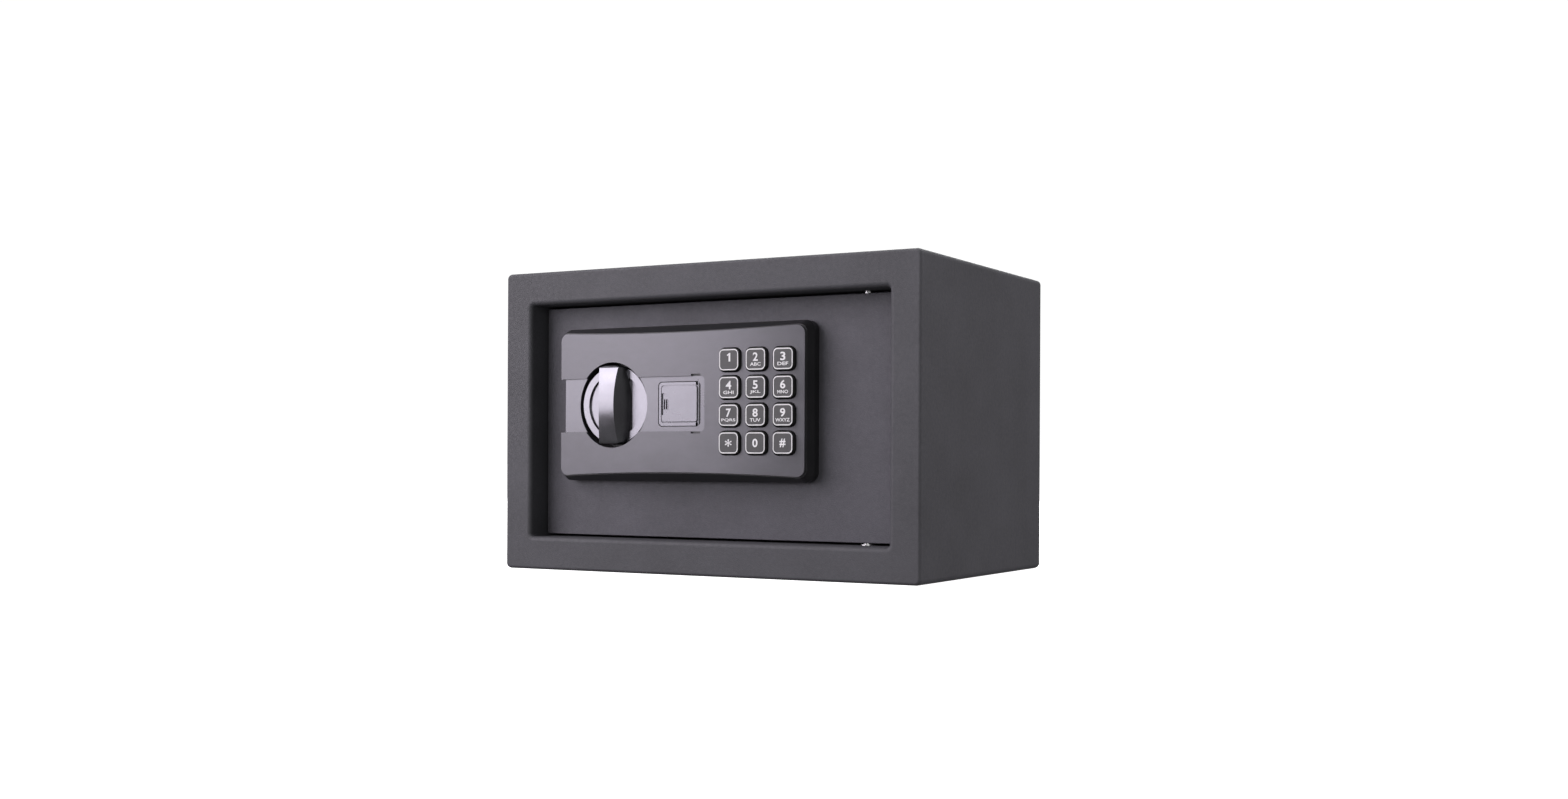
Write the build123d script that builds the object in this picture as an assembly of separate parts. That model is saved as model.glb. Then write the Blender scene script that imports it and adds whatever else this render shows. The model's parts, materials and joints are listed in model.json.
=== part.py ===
from build123d import *
import math
import os

# In room safe with a front keypad, a turn knob and a swinging door.
# Millimetres. +X right, +Y back, +Z up. The origin is the middle of the base.
# The door is closed, its two bolts are drawn back and the knob grip stands upright.

# Cabinet: a wrapped sheet body with a folded front frame and a rear pan.
CABINET_W = 310.0
CABINET_D = 200.0
CABINET_H = 200.0
SHEET = 1.5
WRAP_CORNER = 3.4
EDGE_BEND = 2.0
PAN_DEPTH = 4.0
OPENING_W = 268.0
OPENING_H = 156.0
OPENING_CORNER = 2.0
LIP_BEND = 3.0
LIP_DEPTH = 28.0
ANCHOR_HOLE = 10.0
ANCHOR_SPACING = 160.0

FRONT = -CABINET_D / 2
REAR = CABINET_D / 2
MIDDLE_Z = CABINET_H / 2
LIP_REAR = FRONT + LIP_DEPTH
LIP_LEFT = -OPENING_W / 2
LIP_BOTTOM = MIDDLE_Z - OPENING_H / 2
LIP_TOP = MIDDLE_Z + OPENING_H / 2

# Door: one thick plate set back in the opening, on two upright pins.
DOOR_RECESS = 16.0
DOOR_PLATE = 4.0
DOOR_LEFT = -131.8
DOOR_RIGHT = 132.0
DOOR_GAP = 1.5
DOOR_FRONT = FRONT + DOOR_RECESS
DOOR_REAR = DOOR_FRONT + DOOR_PLATE
HINGE_X = 109.6
HINGE_Y = -78.0
HINGE_PIN_D = 6.0
HINGE_PLAY = 0.05
BUSH_D = 8.0
BUSH_FLANGE_D = 9.5
BUSH_FLANGE = 0.6
HINGE_BLOCK_H = 20.0

# Keypad box: a black shell with drafted walls and a bowed grey face.
HOUSING_X = -17.7
HOUSING_Z = 110.7
HOUSING_W = 192.0
HOUSING_H = 101.0
HOUSING_CORNER = 6.5
HOUSING_DEPTH = 19.2
SKIRT = 6.0
DRAFT_DEGREES = 24.0
CROWN = 21.0
CROWN_CORNER = 4.4
BOW_RADIUS = 720.0
FASCIA = 1.6
FACE_WALL = 3.0
SIDE_WALL = 2.5
BOW_CENTRE_Y = DOOR_FRONT - HOUSING_DEPTH + BOW_RADIUS
BOSS_X = 86.0
BOSS_Z = 42.0

# The band let into the face, from the left end to just past the override cover.
BAND_Z = 109.75
BAND_H = 35.5
BAND_LEFT = -107.6
BAND_RIGHT = 6.0
BAND_CORNER = 3.0
BAND_SINK = 1.5
BAND_FIT = 0.15
BAND_PLATE = 1.6
CLIP_X = -0.5
CLIP_W = 7.0
CLIP_H = 1.2

# Knob: a grooved disc with an upright grip, in a round well.
KNOB_X = -66.4
KNOB_Z = 109.75
WELL_R = 28.0
WELL_WALL = 2.0
WELL_FLOOR = (1.0, 3.0)
KNOB_R = 26.0
KNOB_FACE = 13.4
KNOB_SINK = 1.6
KNOB_BACK = 5.0
SINK_R = 21.0
GRIP_HALF = 5.8
GRIP_FOOT = 12.6
GRIP_TOP = 23.9
GRIP_CROWN_R = 102.0
SHAFT_D = 8.0

# Override lock behind a small flap at the right end of the band.
FLAP_X = -13.8
FLAP_Z = 109.75
FLAP_W = 32.0
FLAP_H = 28.9
FLAP_CORNER = 3.0
FLAP_FIT = 0.5
FLAP_GROOVE = 0.6
FLAP_BACK = 14.9
FLAP_RIM = 17.4
FLAP_FACE = 18.0
FLAP_HINGE_X = 0.65
FLAP_HINGE_OUT = 16.6
FLAP_RELIEF = 3.4
FLAP_FLOOR = (2.0, 4.0)
LOCK_D = 16.0
PLUG_D = 10.0

# Keys: three columns of four.
KEY_COLUMNS = (24.5, 43.1, 61.7)
KEY_ROWS = (136.9, 119.5, 102.1, 84.7)
KEY_NAMES = ("1", "2", "3", "4", "5", "6", "7", "8", "9", "star", "0", "hash")
KEY_W = 14.4
KEY_H = 14.2
KEY_CORNER = 3.5
KEY_GAP = 0.8
KEY_PROUD = 2.0
KEY_BACK = 7.8

# Lock works behind the door plate, under one box cover.
COVER_X = (-122.0, 92.0)
COVER_Z = (28.0, 172.0)
COVER_REAR = -45.0
COVER_SHEET = 1.2
BOLT_D = 14.0
BOLT_Y = -64.0
BOLT_ROWS = (68.0, 132.0)
BOLT_TIP = -130.0
BOLT_THROW = 16.0
BOLT_PLAY = 0.3
CARRIAGE_X = (-104.0, -44.0)
CARRIAGE_Z = (60.0, 143.0)
CARRIAGE_Y = (-78.5, -76.5)
CARRIAGE_SHEET = 2.0
DRIVE_R = BOLT_THROW / math.sqrt(2.0)
DRIVE_PIN_D = 4.0
DRIVE_PLAY = 0.5
STUD_COLUMNS = (-96.0, -66.0)
STUD_D = 6.0
SOLENOID_X = -80.0
SOLENOID_Y = -70.0
SOLENOID_Z = (153.5, 170.0)
PLUNGER_D = 5.0
PLUNGER_TIP = 144.0
COLLAR_Z = (148.6, 149.6)
BATTERY_D = 14.5
BATTERY_L = 50.5
BATTERY_PITCH = 15.5
TRAY_X = (15.0, 83.0)
TRAY_Z = (61.0, 123.0)
TRAY_FLOOR_Y = -65.0
BOARD_X = (18.0, 79.0)
BOARD_Z = (128.0, 160.0)
BOARD_Y = (-72.0, -70.4)
RESET_X = 60.0
RESET_Z = 150.0
LEAD_D = 2.0


def front_plane(y):
    """The upright plane at depth y, seen from the front: local x is X and local y is Z."""
    return Plane(origin=(0, y, 0), x_dir=(1, 0, 0), z_dir=(0, -1, 0))


def outline(y, x, z, width, height, corner=0.0):
    """A rectangle at depth y, with rounded corners where a corner radius is given."""
    shape = RectangleRounded(width, height, corner) if corner else Rectangle(width, height)
    return front_plane(y) * Pos(x, z) * shape


def slab(x, z, width, height, corner, y):
    """A rectangle centred at x, z, running from depth y[0] to depth y[1]."""
    return extrude(outline(y[1], x, z, width, height, corner), amount=y[1] - y[0])


def block(x, y, z):
    """A box between three pairs of low and high coordinates."""
    middle = Pos((x[0] + x[1]) / 2, (y[0] + y[1]) / 2, (z[0] + z[1]) / 2)
    return middle * Box(x[1] - x[0], y[1] - y[0], z[1] - z[0])


def rod_x(y, z, diameter, x):
    """A round bar along X from x[0] to x[1]."""
    return Pos((x[0] + x[1]) / 2, y, z) * Rot(0, 90, 0) * Cylinder(diameter / 2, x[1] - x[0])


def rod_y(x, z, diameter, y):
    """A round bar along Y from y[0] to y[1]."""
    return Pos(x, (y[0] + y[1]) / 2, z) * Rot(90, 0, 0) * Cylinder(diameter / 2, y[1] - y[0])


def rod_z(x, y, diameter, z):
    """A round bar along Z from z[0] to z[1]."""
    return Pos(x, y, (z[0] + z[1]) / 2) * Cylinder(diameter / 2, z[1] - z[0])


def out(distance):
    """The depth of a face that stands this far in front of the door plate."""
    return DOOR_FRONT - distance


def save(name, *solids):
    """Writes one sub-part, which may be a group of separate solids."""
    shape = solids[0] if len(solids) == 1 else Compound(children=list(solids))
    export_step(shape, f"parts/{name}.step")


# Cabinet


def cabinet_wrap():
    """The four walls: one sheet wrapped round, open at the front and rear."""
    y = (FRONT + PAN_DEPTH, REAR - PAN_DEPTH)
    inner_w = CABINET_W - 2 * SHEET
    inner_h = CABINET_H - 2 * SHEET
    walls = slab(0, MIDDLE_Z, CABINET_W, CABINET_H, WRAP_CORNER, y)
    walls -= slab(0, MIDDLE_Z, inner_w, inner_h, WRAP_CORNER - SHEET, y)
    for side in (-1, 1):
        walls -= rod_z(side * ANCHOR_SPACING / 2, 0, ANCHOR_HOLE, (-1, SHEET + 1))
    return walls


def front_frame():
    """The folded front: a flange all round, turned back into a lip about the opening."""
    rim = slab(0, MIDDLE_Z, CABINET_W, CABINET_H, WRAP_CORNER, (FRONT, FRONT + PAN_DEPTH))
    rim = fillet(rim.edges().group_by(Axis.Y)[0], EDGE_BEND)
    lip_w = OPENING_W + 2 * SHEET
    lip_h = OPENING_H + 2 * SHEET
    inner_w = CABINET_W - 2 * SHEET
    inner_h = CABINET_H - 2 * SHEET
    behind = (FRONT + SHEET, FRONT + PAN_DEPTH)
    rim -= slab(0, MIDDLE_Z, inner_w, inner_h, WRAP_CORNER - SHEET, behind)
    rim += slab(0, MIDDLE_Z, lip_w, lip_h, OPENING_CORNER + SHEET, (FRONT + SHEET, LIP_REAR))
    rim -= slab(0, MIDDLE_Z, OPENING_W, OPENING_H, OPENING_CORNER, (FRONT, LIP_REAR))
    edges = [edge for edge in rim.edges().group_by(Axis.Y)[0] if is_opening_edge(edge)]
    rim = fillet(edges, LIP_BEND)
    for z in (LIP_BOTTOM, LIP_TOP):
        rim -= rod_z(HINGE_X, HINGE_Y, BUSH_D, (z - 3 * SHEET, z + 3 * SHEET))
    return rim


def is_opening_edge(edge):
    """True for the edges where the flange turns into the lip."""
    centre = edge.center()
    return abs(centre.X) < OPENING_W / 2 + 1 and abs(centre.Z - MIDDLE_Z) < OPENING_H / 2 + 1


def back_panel():
    """The rear pan, with its edges turned forward to meet the walls."""
    pan = slab(0, MIDDLE_Z, CABINET_W, CABINET_H, WRAP_CORNER, (REAR - PAN_DEPTH, REAR))
    pan = fillet(pan.edges().group_by(Axis.Y)[-1], EDGE_BEND)
    inner_w = CABINET_W - 2 * SHEET
    inner_h = CABINET_H - 2 * SHEET
    inside = (REAR - PAN_DEPTH, REAR - SHEET)
    pan -= slab(0, MIDDLE_Z, inner_w, inner_h, WRAP_CORNER - SHEET, inside)
    for side in (-1, 1):
        pan -= rod_y(side * ANCHOR_SPACING / 2, MIDDLE_Z, ANCHOR_HOLE, (REAR - 3, REAR + 1))
    return pan


def hinge_bushes():
    """The bushes the door pins turn in: the lower one's flange carries the door."""
    bore = HINGE_PIN_D + 2 * HINGE_PLAY
    lower = rod_z(HINGE_X, HINGE_Y, BUSH_D, (LIP_BOTTOM - 4.5, LIP_BOTTOM))
    lower += rod_z(HINGE_X, HINGE_Y, BUSH_FLANGE_D, (LIP_BOTTOM, LIP_BOTTOM + BUSH_FLANGE))
    upper = rod_z(HINGE_X, HINGE_Y, BUSH_D, (LIP_TOP, LIP_TOP + 4.5))
    through = rod_z(HINGE_X, HINGE_Y, bore, (0, CABINET_H))
    return [lower - through, upper - through]


def door_stops():
    """Two tabs on the latch side of the lip, which the closed door comes up against."""
    stop_y = (DOOR_REAR + 0.2, DOOR_REAR + 3.2)
    stop_x = (LIP_LEFT, LIP_LEFT + 5)
    return [block(stop_x, stop_y, (z - 7, z + 7)) for z in (42, 158)]


def floor_mat():
    """The soft mat on the cabinet floor, punched where the base is anchored."""
    mat = block((-147, 147), (-66, 92), (SHEET, SHEET + 3))
    mat = fillet(mat.edges().filter_by(Axis.Z), 4)
    for side in (-1, 1):
        mat -= rod_z(side * ANCHOR_SPACING / 2, 0, ANCHOR_HOLE + 4, (0, 10))
    return mat


# Door and hinge


def boss_places():
    """The middles of the four screw bosses that hold the keypad box to the door."""
    return [(HOUSING_X + sx * BOSS_X, HOUSING_Z + sz * BOSS_Z) for sx in (-1, 1) for sz in (-1, 1)]


def door_plate():
    """The thick door plate with its round corners and the holes that the lock needs."""
    width = DOOR_RIGHT - DOOR_LEFT
    height = OPENING_H - 2 * DOOR_GAP
    middle_x = (DOOR_LEFT + DOOR_RIGHT) / 2
    plate = slab(middle_x, MIDDLE_Z, width, height, 1.5, (DOOR_FRONT, DOOR_REAR))
    plate = fillet(plate.edges().group_by(Axis.Y)[0], 0.5)
    through = (DOOR_FRONT - 1, DOOR_REAR + 1)
    plate -= rod_y(KNOB_X, KNOB_Z, SHAFT_D + 6, through)
    plate -= rod_y(FLAP_X, FLAP_Z, LOCK_D + 1, through)
    plate -= slab(52, 140, 16, 8, 2, through)
    for x, z in boss_places():
        plate -= rod_y(x, z, 4.0, through)
        plate -= Pos(x, DOOR_REAR - 1, z) * Rot(-90, 0, 0) * Cone(2.0, 4.0, 2.0)
    for low, high in hinge_block_heights():
        plate -= rod_z(HINGE_X, HINGE_Y, HINGE_PIN_D, (low - 5, high + 5))
    return plate


def hinge_block_heights():
    """The low and high ends of the two hinge blocks."""
    low = LIP_BOTTOM + DOOR_GAP + 0.5
    high = LIP_TOP - DOOR_GAP - 0.5
    return [(low, low + HINGE_BLOCK_H), (high - HINGE_BLOCK_H, high)]


def hinge_blocks():
    """Two blocks welded behind the door plate, each holding a pin."""
    blocks = []
    for low, high in hinge_block_heights():
        body = block((HINGE_X - 7, HINGE_X + 7), (DOOR_REAR, DOOR_REAR + 8), (low, high))
        body = chamfer(body.edges().filter_by(Axis.Z).group_by(Axis.Y)[-1], 1.5)
        body -= rod_z(HINGE_X, HINGE_Y, HINGE_PIN_D, (low - 1, high + 1))
        blocks.append(body)
    return blocks


def hinge_pins():
    """Two pins that run from the hinge blocks through the bushes in the lips."""
    lower, upper = hinge_block_heights()
    reach = 4.5
    pins = [
        rod_z(HINGE_X, HINGE_Y, HINGE_PIN_D, (LIP_BOTTOM - reach, lower[1])),
        rod_z(HINGE_X, HINGE_Y, HINGE_PIN_D, (upper[0], LIP_TOP + reach)),
    ]
    return [chamfer(pin.edges().group_by(Axis.Z)[0], 0.5) for pin in pins]


# Keypad box


def bow(depth=0.0):
    """Everything behind the bowed face of the keypad box, lowered by depth."""
    return Pos(HOUSING_X, BOW_CENTRE_Y, HOUSING_Z) * Cylinder(BOW_RADIUS - depth, 150)


def face_height(x, depth=0.0):
    """How far the bowed face, lowered by depth, stands in front of the door plate at x."""
    radius = BOW_RADIUS - depth
    return HOUSING_DEPTH - BOW_RADIUS + math.sqrt(radius**2 - (x - HOUSING_X) ** 2)


def hull(inset=0.0):
    """The keypad box as a solid: an upright skirt, then walls that lean in."""
    width = HOUSING_W - 2 * inset
    height = HOUSING_H - 2 * inset
    lean = 2 * (CROWN - SKIRT) * math.tan(math.radians(DRAFT_DEGREES))
    corner = HOUSING_CORNER - inset / 2
    skirt = slab(HOUSING_X, HOUSING_Z, width, height, corner, (out(SKIRT), DOOR_FRONT))
    low = outline(out(SKIRT), HOUSING_X, HOUSING_Z, width, height, corner)
    crown_corner = CROWN_CORNER - inset / 2
    high = outline(out(CROWN), HOUSING_X, HOUSING_Z, width - lean, height - lean, crown_corner)
    body = skirt + loft([low, high], ruled=True)
    return body - left_notch(inset)


def left_notch(inset=0.0):
    """The step in the left end, where the band stops short of the face about it."""
    z = (BAND_Z - BAND_H / 2 - inset, BAND_Z + BAND_H / 2 + inset)
    return block((HOUSING_X - HOUSING_W, BAND_LEFT + inset), (out(CROWN + 5), DOOR_FRONT), z)


def band_window(grow, y):
    """The window of the band in the face, open at the left end."""
    left = HOUSING_X - HOUSING_W
    right = BAND_RIGHT + grow
    return slab((left + right) / 2, BAND_Z, right - left, BAND_H + 2 * grow, BAND_CORNER, y)


def key_windows(y):
    """The twelve openings that the keys stand in."""
    width = KEY_W + 2 * KEY_GAP
    height = KEY_H + 2 * KEY_GAP
    windows = [slab(x, z, width, height, KEY_CORNER + KEY_GAP, y) for x, z in key_places()]
    return Compound(children=windows)


def key_places():
    """The middles of the keys, row by row from the top left."""
    return [(x, z) for z in KEY_ROWS for x in KEY_COLUMNS]


def flap_pin(diameter):
    """The bar on which the override flap turns, long enough to reach into the box."""
    z = (FLAP_Z - FLAP_H / 2 - 1.2, FLAP_Z + FLAP_H / 2 + 1.2)
    return rod_z(FLAP_HINGE_X, out(FLAP_HINGE_OUT), diameter, z)


def keypad_fascia():
    """The grey face skin, cut for the band, the knob and the keys."""
    skin = (hull() & bow()) - bow(FASCIA)
    skin = fillet(outer_front_edges(skin), 0.7)
    deep = (out(CROWN + 5), out(2))
    skin -= band_window(0, deep)
    clip_x = (CLIP_X - CLIP_W / 2, CLIP_X + CLIP_W / 2)
    reach = BAND_H / 2 + CLIP_H
    skin -= block(clip_x, deep, (BAND_Z - reach, BAND_Z + reach))
    skin -= rod_y(KNOB_X, KNOB_Z, 2 * WELL_R, deep)
    for window in key_windows(deep).solids():
        skin -= window
    return skin


def outer_front_edges(skin):
    """The edges that run round the front of the face skin."""
    faces = skin.faces().filter_by(GeomType.CYLINDER)
    front = max(faces, key=lambda face: (round(face.area, 1), -face.center().Y))
    return front.outer_wire().edges()


def fascia_inlay():
    """The lighter band, sunk below the face, with the knob and flap openings."""
    deep = (out(CROWN + 5), out(2))
    band = band_window(-BAND_FIT, deep) & bow(BAND_SINK)
    band -= bow(BAND_SINK + BAND_PLATE)
    band -= block((HOUSING_X - 2 * HOUSING_W, BAND_LEFT), deep, (0, CABINET_H))
    band -= rod_y(KNOB_X, KNOB_Z, 2 * WELL_R, deep)
    band -= slab(FLAP_X, FLAP_Z, FLAP_W, FLAP_H, FLAP_CORNER, deep)
    return band - flap_pin(1.8)


def keypad_housing():
    """The black shell of the keypad box, with its two wells, bosses and posts."""
    deep = (out(CROWN + 5), out(2))
    shell = hull() & bow(FASCIA)
    shell -= hull(SIDE_WALL) & bow(FASCIA + FACE_WALL)
    inside = hull() & bow(FASCIA)
    well_y = (out(CROWN), out(WELL_FLOOR[0]))
    flap_well_y = (out(CROWN), out(FLAP_FLOOR[0]))
    shell += rod_y(KNOB_X, KNOB_Z, 2 * (WELL_R + WELL_WALL), well_y) & inside
    flap_well = slab(FLAP_X, FLAP_Z, FLAP_W + 3, FLAP_H + 3, FLAP_CORNER + 1.5, flap_well_y)
    shell += flap_well & inside
    for x, z in boss_places():
        shell += rod_y(x, z, 8, (out(12), DOOR_FRONT)) & inside
        shell -= rod_y(x, z, 2.8, (out(9), DOOR_FRONT + 1))
    for x, z in board_posts():
        shell += rod_y(x, z, 4, (out(CROWN), out(4))) & inside
    shell -= rod_y(KNOB_X, KNOB_Z, 2 * WELL_R, (out(CROWN + 5), out(WELL_FLOOR[1])))
    shell -= rod_y(KNOB_X, KNOB_Z, SHAFT_D + 4, (out(CROWN), DOOR_FRONT + 1))
    flap_pocket_y = (out(CROWN + 5), out(FLAP_FLOOR[1]))
    shell -= slab(FLAP_X, FLAP_Z, FLAP_W, FLAP_H, FLAP_CORNER, flap_pocket_y)
    shell -= rod_y(FLAP_X, FLAP_Z, LOCK_D, (out(CROWN), DOOR_FRONT + 1))
    shell -= band_window(-BAND_FIT, deep) - bow(BAND_SINK + BAND_PLATE)
    for window in key_windows(deep).solids():
        shell -= window
    return shell - flap_pin(1.8)


def board_posts():
    """The middles of the four posts that the keypad board rests against."""
    return [(x, z) for x in (13.0, 73.2) for z in (79.0, 143.0)]


def keypad_board():
    """The circuit board behind the keys."""
    return block((10.6, 75.4), (out(4.0), out(2.4)), (75, 147))


def keypad_membrane():
    """The rubber sheet under the keys, with one round pad for each."""
    sheet = block((15.6, 70.6), (out(5.0), out(4.0)), (76.2, 145.6))
    for x, z in key_places():
        pad = Pos(x, out(5.7), z) * Rot(90, 0, 0) * Cone(4.5, 3.2, 1.4)
        sheet += pad
    return sheet


def key(x, z):
    """One key: a cap with a soft front edge, and a flange that keeps it in the box."""
    front = face_height(x) + KEY_PROUD
    cap = slab(x, z, KEY_W, KEY_H, KEY_CORNER, (out(front), out(KEY_BACK)))
    cap = fillet(cap.edges().group_by(Axis.Y)[0], 0.4)
    flange_y = (out(KEY_BACK + 1), out(KEY_BACK))
    return cap + slab(x, z, KEY_W + 2.8, KEY_H + 2.4, KEY_CORNER + 1, flange_y)


def housing_screws():
    """Four flat-headed screws through the door plate into the box's bosses."""
    screws = []
    for x, z in boss_places():
        head = Pos(x, DOOR_REAR - 1, z) * Rot(-90, 0, 0) * Cone(2.0, 4.0, 2.0)
        screw = head + rod_y(x, z, 2.8, (out(8.5), DOOR_REAR - 1))
        slot = block((x - 3, x + 3), (DOOR_REAR - 0.8, DOOR_REAR + 1), (z - 0.5, z + 0.5))
        screws.append(screw - slot)
    return screws


# Knob


def knob():
    """The disc with its raised rim, and the tapered grip that crosses it."""
    face = out(KNOB_FACE)
    disc = rod_y(KNOB_X, KNOB_Z, 2 * KNOB_R, (face, out(KNOB_BACK)))
    disc = fillet(disc.edges().group_by(Axis.Y)[0], 0.7)
    disc -= rod_y(KNOB_X, KNOB_Z, 2 * SINK_R, (face - 1, face + KNOB_SINK))
    body = disc + knob_grip()
    return body - rod_y(KNOB_X, KNOB_Z, SHAFT_D, (out(13), DOOR_FRONT))


def knob_grip():
    """The upright grip: sides that widen to the disc, a front crowned along its length."""
    root = out(KNOB_FACE - KNOB_SINK - 1)
    foot = out(KNOB_FACE - KNOB_SINK)
    top = out(GRIP_TOP + 1)
    section = Polyline(
        (-GRIP_FOOT, root),
        (GRIP_FOOT, root),
        (GRIP_FOOT, foot),
        (GRIP_HALF, out(GRIP_TOP)),
        (GRIP_HALF, top),
        (-GRIP_HALF, top),
        (-GRIP_HALF, out(GRIP_TOP)),
        (-GRIP_FOOT, foot),
        close=True,
    )
    length = 2 * KNOB_R + 4
    bar = Pos(KNOB_X, 0, KNOB_Z - length / 2) * extrude(make_face(section), amount=length)
    side_x = GRIP_CROWN_R - GRIP_FOOT
    bar &= rod_y(KNOB_X - side_x, KNOB_Z, 2 * GRIP_CROWN_R, (top, root))
    bar &= rod_y(KNOB_X + side_x, KNOB_Z, 2 * GRIP_CROWN_R, (top, root))
    return bar & grip_crown() & rod_y(KNOB_X, KNOB_Z, 2 * KNOB_R - 0.4, (top, root))


def grip_crown():
    """Everything behind the crowned front of the grip, rounded over at its two ends."""
    side = Plane(origin=(KNOB_X - 40, 0, KNOB_Z), x_dir=(0, 1, 0), z_dir=(1, 0, 0))
    arch = Pos(out(GRIP_TOP) + GRIP_CROWN_R, 0) * Circle(GRIP_CROWN_R)
    strip = Pos(out(GRIP_TOP) + 20, 0) * Rectangle(60, 2 * KNOB_R - 0.4)
    profile = arch & strip
    profile = fillet(profile.vertices().group_by(Axis.X)[0], 3.5)
    return extrude(side * profile, amount=80)


def knob_shaft():
    """The shaft from the knob through the door to the cam."""
    return rod_y(KNOB_X, KNOB_Z, SHAFT_D, (out(13), CARRIAGE_Y[1] + 3.4))


def shaft_bush():
    """The flanged bush in the door plate that the shaft turns in."""
    bush = rod_y(KNOB_X, KNOB_Z, SHAFT_D + 6, (DOOR_FRONT, DOOR_REAR))
    bush += rod_y(KNOB_X, KNOB_Z, SHAFT_D + 9, (DOOR_REAR, DOOR_REAR + 1))
    return bush - rod_y(KNOB_X, KNOB_Z, SHAFT_D + 0.1, (DOOR_FRONT - 1, DOOR_REAR + 2))


def knob_cam():
    """The lever on the end of the shaft, with the pin that drives the bolts."""
    y = (CARRIAGE_Y[1] + 0.4, CARRIAGE_Y[1] + 3.4)
    reach = BOLT_THROW / 2
    hub = rod_y(KNOB_X, KNOB_Z, 16, y)
    end = rod_y(KNOB_X + reach, KNOB_Z + reach, 8, y)
    web = slab(0, 0, DRIVE_R, 8, 0, y)
    web = Pos(KNOB_X + reach / 2, 0, KNOB_Z + reach / 2) * Rot(0, -45, 0) * web
    cam = hub + end + web
    cam += rod_y(KNOB_X + reach, KNOB_Z + reach, DRIVE_PIN_D, (DOOR_REAR + 0.7, y[1]))
    return cam - rod_y(KNOB_X, KNOB_Z, SHAFT_D, (y[0] - 1, y[1] + 1))


def cam_screw():
    """The screw and washer that hold the cam on the shaft."""
    rear = CARRIAGE_Y[1] + 3.4
    screw = rod_y(KNOB_X, KNOB_Z, 11, (rear, rear + 0.8))
    screw += rod_y(KNOB_X, KNOB_Z, 7, (rear + 0.8, rear + 3.2))
    slot = block((KNOB_X - 4, KNOB_X + 4), (rear + 2.2, rear + 4), (KNOB_Z - 0.5, KNOB_Z + 0.5))
    return screw - slot


# Bolt work


def bolt_carriage():
    """The sliding plate with a cam slot, guide slots, a bolt flange and a locking flange."""
    x = CARRIAGE_X
    z = CARRIAGE_Z
    plate = block(x, CARRIAGE_Y, z)
    flange_y = (CARRIAGE_Y[0], BOLT_Y + 8)
    plate += block((x[0], x[0] + CARRIAGE_SHEET), flange_y, (z[0], z[1]))
    plate += block(x, (CARRIAGE_Y[0], SOLENOID_Y + 7), (z[1] - CARRIAGE_SHEET, z[1]))
    half_notch = SHAFT_D / 2 + 0.8
    notch_z = (KNOB_Z - half_notch, KNOB_Z + half_notch)
    plate -= block((KNOB_X - half_notch, x[1] + 1), (CARRIAGE_Y[0] - 1, CARRIAGE_Y[1] + 0.1), notch_z)
    pin_x = KNOB_X + BOLT_THROW / 2
    half_slot = DRIVE_PIN_D / 2 + DRIVE_PLAY
    slot_top = KNOB_Z + DRIVE_R + DRIVE_PIN_D / 2 + 0.6
    slot_x = (pin_x - half_slot, pin_x + half_slot)
    plate -= block(slot_x, (CARRIAGE_Y[0] - 1, CARRIAGE_Y[1] + 0.1), (KNOB_Z, slot_top))
    for stud_x in STUD_COLUMNS:
        for stud_z in BOLT_ROWS:
            length = BOLT_THROW + STUD_D + 0.6
            slot_middle = stud_x + BOLT_THROW / 2
            cut_y = (CARRIAGE_Y[0] - 1, CARRIAGE_Y[1] + 0.1)
            plate -= slab(slot_middle, stud_z, length, STUD_D + 0.6, STUD_D / 2, cut_y)
    for row in BOLT_ROWS:
        plate -= rod_x(BOLT_Y, row, 8, (x[0] - 1, x[0] + CARRIAGE_SHEET + 1))
    for hole_x in (SOLENOID_X, SOLENOID_X + BOLT_THROW):
        plate -= rod_z(hole_x, SOLENOID_Y, PLUNGER_D + 1, (z[1] - 3, z[1] + 1))
    return plate


def locking_bolts():
    """Two round bolts with a rounded nose, riveted to the carriage."""
    bolts = []
    for row in BOLT_ROWS:
        bolt = rod_x(BOLT_Y, row, BOLT_D, (BOLT_TIP, CARRIAGE_X[0]))
        bolt = fillet(bolt.edges().group_by(Axis.X)[0], 1.5)
        tail = CARRIAGE_X[0] + CARRIAGE_SHEET
        bolt += rod_x(BOLT_Y, row, 8, (CARRIAGE_X[0], tail))
        bolt += rod_x(BOLT_Y, row, 11, (tail, tail + 1.5))
        bolts.append(bolt)
    return bolts


def carriage_studs():
    """Four headed studs on the door plate that guide the carriage."""
    studs = []
    for x in STUD_COLUMNS:
        for z in BOLT_ROWS:
            stud = rod_y(x, z, STUD_D, (DOOR_REAR, CARRIAGE_Y[1] + 0.3))
            stud += rod_y(x, z, STUD_D + 4, (CARRIAGE_Y[1] + 0.3, CARRIAGE_Y[1] + 1.8))
            studs.append(stud)
    return studs


def solenoid_frame():
    """The bent steel strap that holds the coil against the door plate."""
    x = (SOLENOID_X - 11, SOLENOID_X + 11)
    y = (DOOR_REAR, SOLENOID_Y + 9)
    low, high = SOLENOID_Z
    frame = block(x, y, (low, low + SHEET))
    frame += block(x, y, (high - SHEET, high))
    frame += block(x, (DOOR_REAR, DOOR_REAR + SHEET), (low, high))
    return frame - rod_z(SOLENOID_X, SOLENOID_Y, PLUNGER_D + 0.6, (low - 1, low + SHEET + 1))


def solenoid_coil():
    """The wound coil on its bobbin, with a blind bore for the plunger."""
    low = SOLENOID_Z[0] + SHEET
    high = SOLENOID_Z[1] - SHEET
    coil = rod_z(SOLENOID_X, SOLENOID_Y, 15.6, (low, high))
    groove = rod_z(SOLENOID_X, SOLENOID_Y, 20, (low + 1.2, high - 1.2))
    groove -= rod_z(SOLENOID_X, SOLENOID_Y, 14.4, (low, high))
    coil -= groove
    return coil - rod_z(SOLENOID_X, SOLENOID_Y, PLUNGER_D + 0.6, (low - 1, high - 2))


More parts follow.
